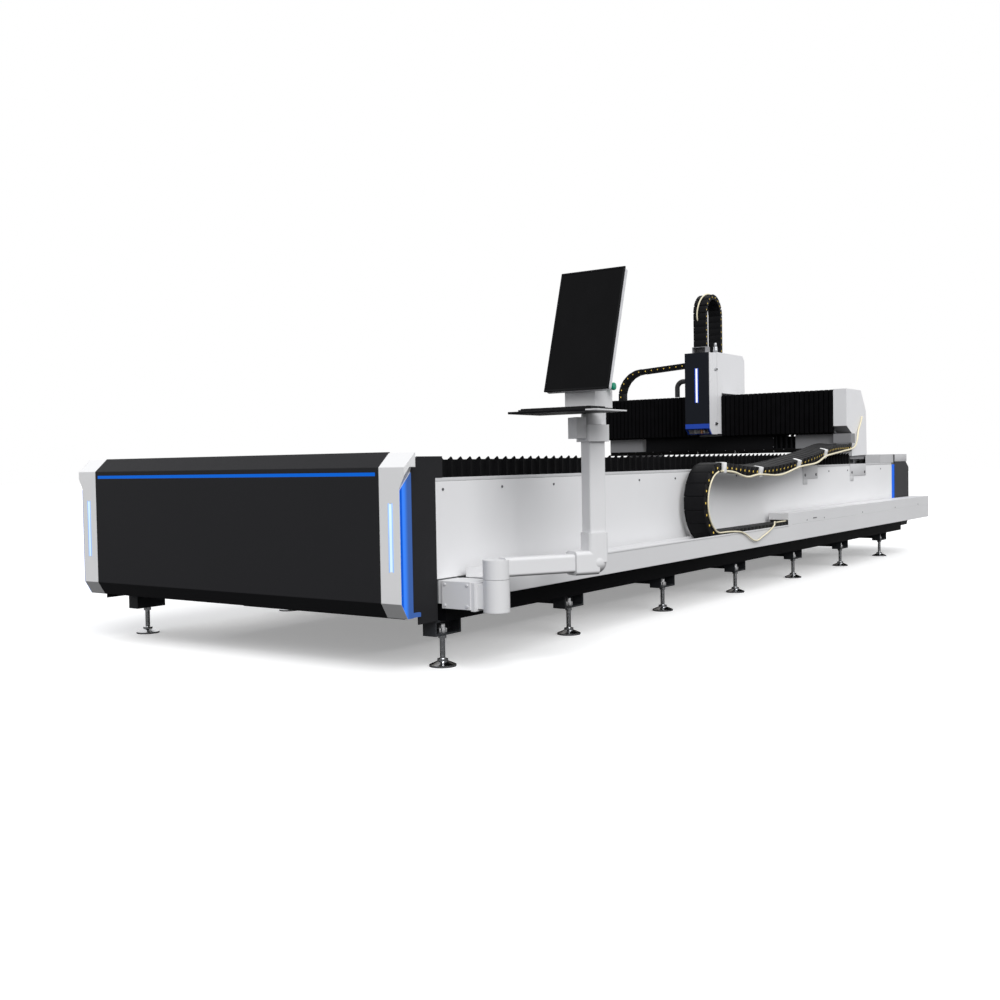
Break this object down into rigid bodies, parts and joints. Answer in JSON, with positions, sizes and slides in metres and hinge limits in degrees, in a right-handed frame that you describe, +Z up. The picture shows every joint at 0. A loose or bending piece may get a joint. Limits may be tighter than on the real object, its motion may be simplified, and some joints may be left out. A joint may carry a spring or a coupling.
{
  "type": "fiber laser cutting machine",
  "caption": "Open-bed fiber laser cutter: slat table, travelling gantry with lifting cutting head, bellows-covered ways, cable chains and a swivelling operator console with monitor.",
  "frame": {"origin": "centre of the overall box at floor level", "axes": "+X to the right across the bed (console side), +Y along the bed away from the near end, +Z up"},
  "size_m": [3.0564, 7.42, 2.3191],
  "materials": {
    "bed_frame": "satin dark grey paint",
    "lower_tubes": "satin black paint",
    "foot_brackets": "grey paint",
    "feet": "plated steel",
    "side_panels": "satin white powder coat",
    "panel_screws": "zinc plated",
    "near_cover": "satin black powder coat",
    "near_trims": "satin white powder coat",
    "near_cheeks": "satin black powder coat",
    "glow_strips": "blue light diffuser",
    "light_bars": "white light diffuser",
    "far_cover": "satin dark grey powder coat",
    "way_covers": "brushed",
    "bed_rails": "ground steel",
    "slats": "mill steel",
    "slat_combs": "grey paint",
    "scrap_trays": "dark grey paint",
    "front_bellows": "coated black cloth",
    "rear_bellows": "coated black cloth",
    "chain_tray": "satin white powder coat",
    "tray_lid": "satin white powder coat",
    "console_box": "light grey powder coat",
    "console_post": "light grey powder coat",
    "gantry_beam": "grey paint",
    "beam_apron": "black paint",
    "saddles": "grey paint",
    "way_blocks": "ground steel",
    "gantry_drives": "black paint",
    "end_covers": "satin white powder coat",
    "beam_rails": "ground steel",
    "beam_bellows_left": "coated black cloth",
    "beam_bellows_right": "coated black cloth",
    "chain_shelf": "grey paint",
    "side_chain_loop": "moulded black plastic",
    "side_chain_run": "moulded black plastic",
    "side_hose_run": "cream hose",
    "side_hose_tail": "cream hose",
    "carriage_plate": "light grey powder coat",
    "carriage_body": "light grey powder coat",
    "carriage_blocks": "ground steel",
    "lift_guide": "ground steel",
    "head_conduit": "corrugated black conduit",
    "beam_chain_loop": "moulded black plastic",
    "beam_chain_run": "moulded black plastic",
    "head_front": "satin black powder coat",
    "head_shell": "light grey powder coat",
    "head_light": "white light diffuser",
    "head_chin": "blue paint",
    "lift_plate": "machined",
    "cutting_head": "anodised",
    "nozzle": "turned copper alloy",
    "chain_foot": "grey paint",
    "lift_chain": "moulded black plastic",
    "console_arm": "light grey powder coat",
    "console_column": "light grey powder coat",
    "console_deck": "light grey powder coat",
    "keyboard": "black plastic",
    "monitor_shell": "light grey plastic",
    "monitor_screen": "dark glass-like panel",
    "start_button": "green plastic"
  },
  "bodies": {
    "bed": {"bed_frame": "bed_frame", "lower_tubes": "lower_tubes", "foot_brackets": "foot_brackets", "feet": "feet", "side_panels": "side_panels", "panel_screws": "panel_screws", "near_cover": "near_cover", "near_trims": "near_trims", "near_cheeks": "near_cheeks", "glow_strips": "glow_strips", "light_bars": "light_bars", "far_cover": "far_cover", "way_covers": "way_covers", "bed_rails": "bed_rails", "slats": "slats", "slat_combs": "slat_combs", "scrap_trays": "scrap_trays", "front_bellows": "front_bellows", "rear_bellows": "rear_bellows", "chain_tray": "chain_tray", "tray_lid": "tray_lid", "console_box": "console_box", "console_post": "console_post"},
    "gantry": {"gantry_beam": "gantry_beam", "beam_apron": "beam_apron", "saddles": "saddles", "way_blocks": "way_blocks", "gantry_drives": "gantry_drives", "end_covers": "end_covers", "beam_rails": "beam_rails", "beam_bellows_left": "beam_bellows_left", "beam_bellows_right": "beam_bellows_right", "chain_shelf": "chain_shelf", "side_chain_run": "side_chain_run", "side_hose_run": "side_hose_run"},
    "side_chain": {"side_chain_loop": "side_chain_loop", "side_hose_tail": "side_hose_tail"},
    "carriage": {"carriage_plate": "carriage_plate", "carriage_body": "carriage_body", "carriage_blocks": "carriage_blocks", "lift_guide": "lift_guide", "head_conduit": "head_conduit", "beam_chain_run": "beam_chain_run", "lift_chain": "lift_chain"},
    "beam_chain": {"beam_chain_loop": "beam_chain_loop"},
    "head": {"head_front": "head_front", "head_shell": "head_shell", "head_light": "head_light", "head_chin": "head_chin", "lift_plate": "lift_plate", "cutting_head": "cutting_head", "nozzle": "nozzle", "chain_foot": "chain_foot"},
    "console_arm": {"console_arm": "console_arm", "console_column": "console_column"},
    "console_top": {"console_deck": "console_deck", "keyboard": "keyboard"},
    "monitor": {"monitor_shell": "monitor_shell", "monitor_screen": "monitor_screen"},
    "button": {"start_button": "start_button"}
  },
  "joints": [
    {"name": "gantry_travel", "type": "slide", "parent": "bed", "child": "gantry", "axis": [0, 1, 0], "range_m": [-5, 0.25], "deforming": ["front_bellows", "rear_bellows"]},
    {"name": "side_chain_follow", "type": "slide", "parent": "gantry", "child": "side_chain", "axis": [0, 1, 0], "range_m": [-0.13, 2.51], "deforming": ["side_chain_run", "side_hose_run"]},
    {"name": "head_traverse", "type": "slide", "parent": "gantry", "child": "carriage", "axis": [1, 0, 0], "range_m": [-0.7, 0.8], "deforming": ["beam_bellows_left", "beam_bellows_right"]},
    {"name": "beam_chain_follow", "type": "slide", "parent": "carriage", "child": "beam_chain", "axis": [1, 0, 0], "range_m": [-0.41, 0.36], "deforming": ["beam_chain_run"]},
    {"name": "head_lift", "type": "slide", "parent": "carriage", "child": "head", "axis": [0, 0, 1], "range_m": [-0.12, 0.06], "deforming": ["lift_chain"]},
    {"name": "console_swivel", "type": "hinge", "parent": "bed", "child": "console_arm", "pos_m": [1.09075, -3.385, 0.4], "axis": [0, 0, 1], "range_deg": [-90, 0]},
    {"name": "console_turn", "type": "hinge", "parent": "console_arm", "child": "console_top", "pos_m": [1.32825, -2.97364, 1.046], "axis": [0, 0, 1], "range_deg": [-30, 90]},
    {"name": "monitor_tilt", "type": "hinge", "parent": "console_top", "child": "monitor", "pos_m": [1.31325, -3.03564, 1.222], "axis": [1, 0, 0], "range_deg": [-8, 15]},
    {"name": "start_press", "type": "slide", "parent": "console_top", "child": "button", "axis": [-1, 0, 0], "range_m": [0, 0.003], "stiffness_N_per_m": 600}
  ],
  "couplings": [
    {"joint": "side_chain_follow", "follows": "gantry_travel", "ratio": -0.5},
    {"joint": "beam_chain_follow", "follows": "head_traverse", "ratio": -0.5}
  ]
}
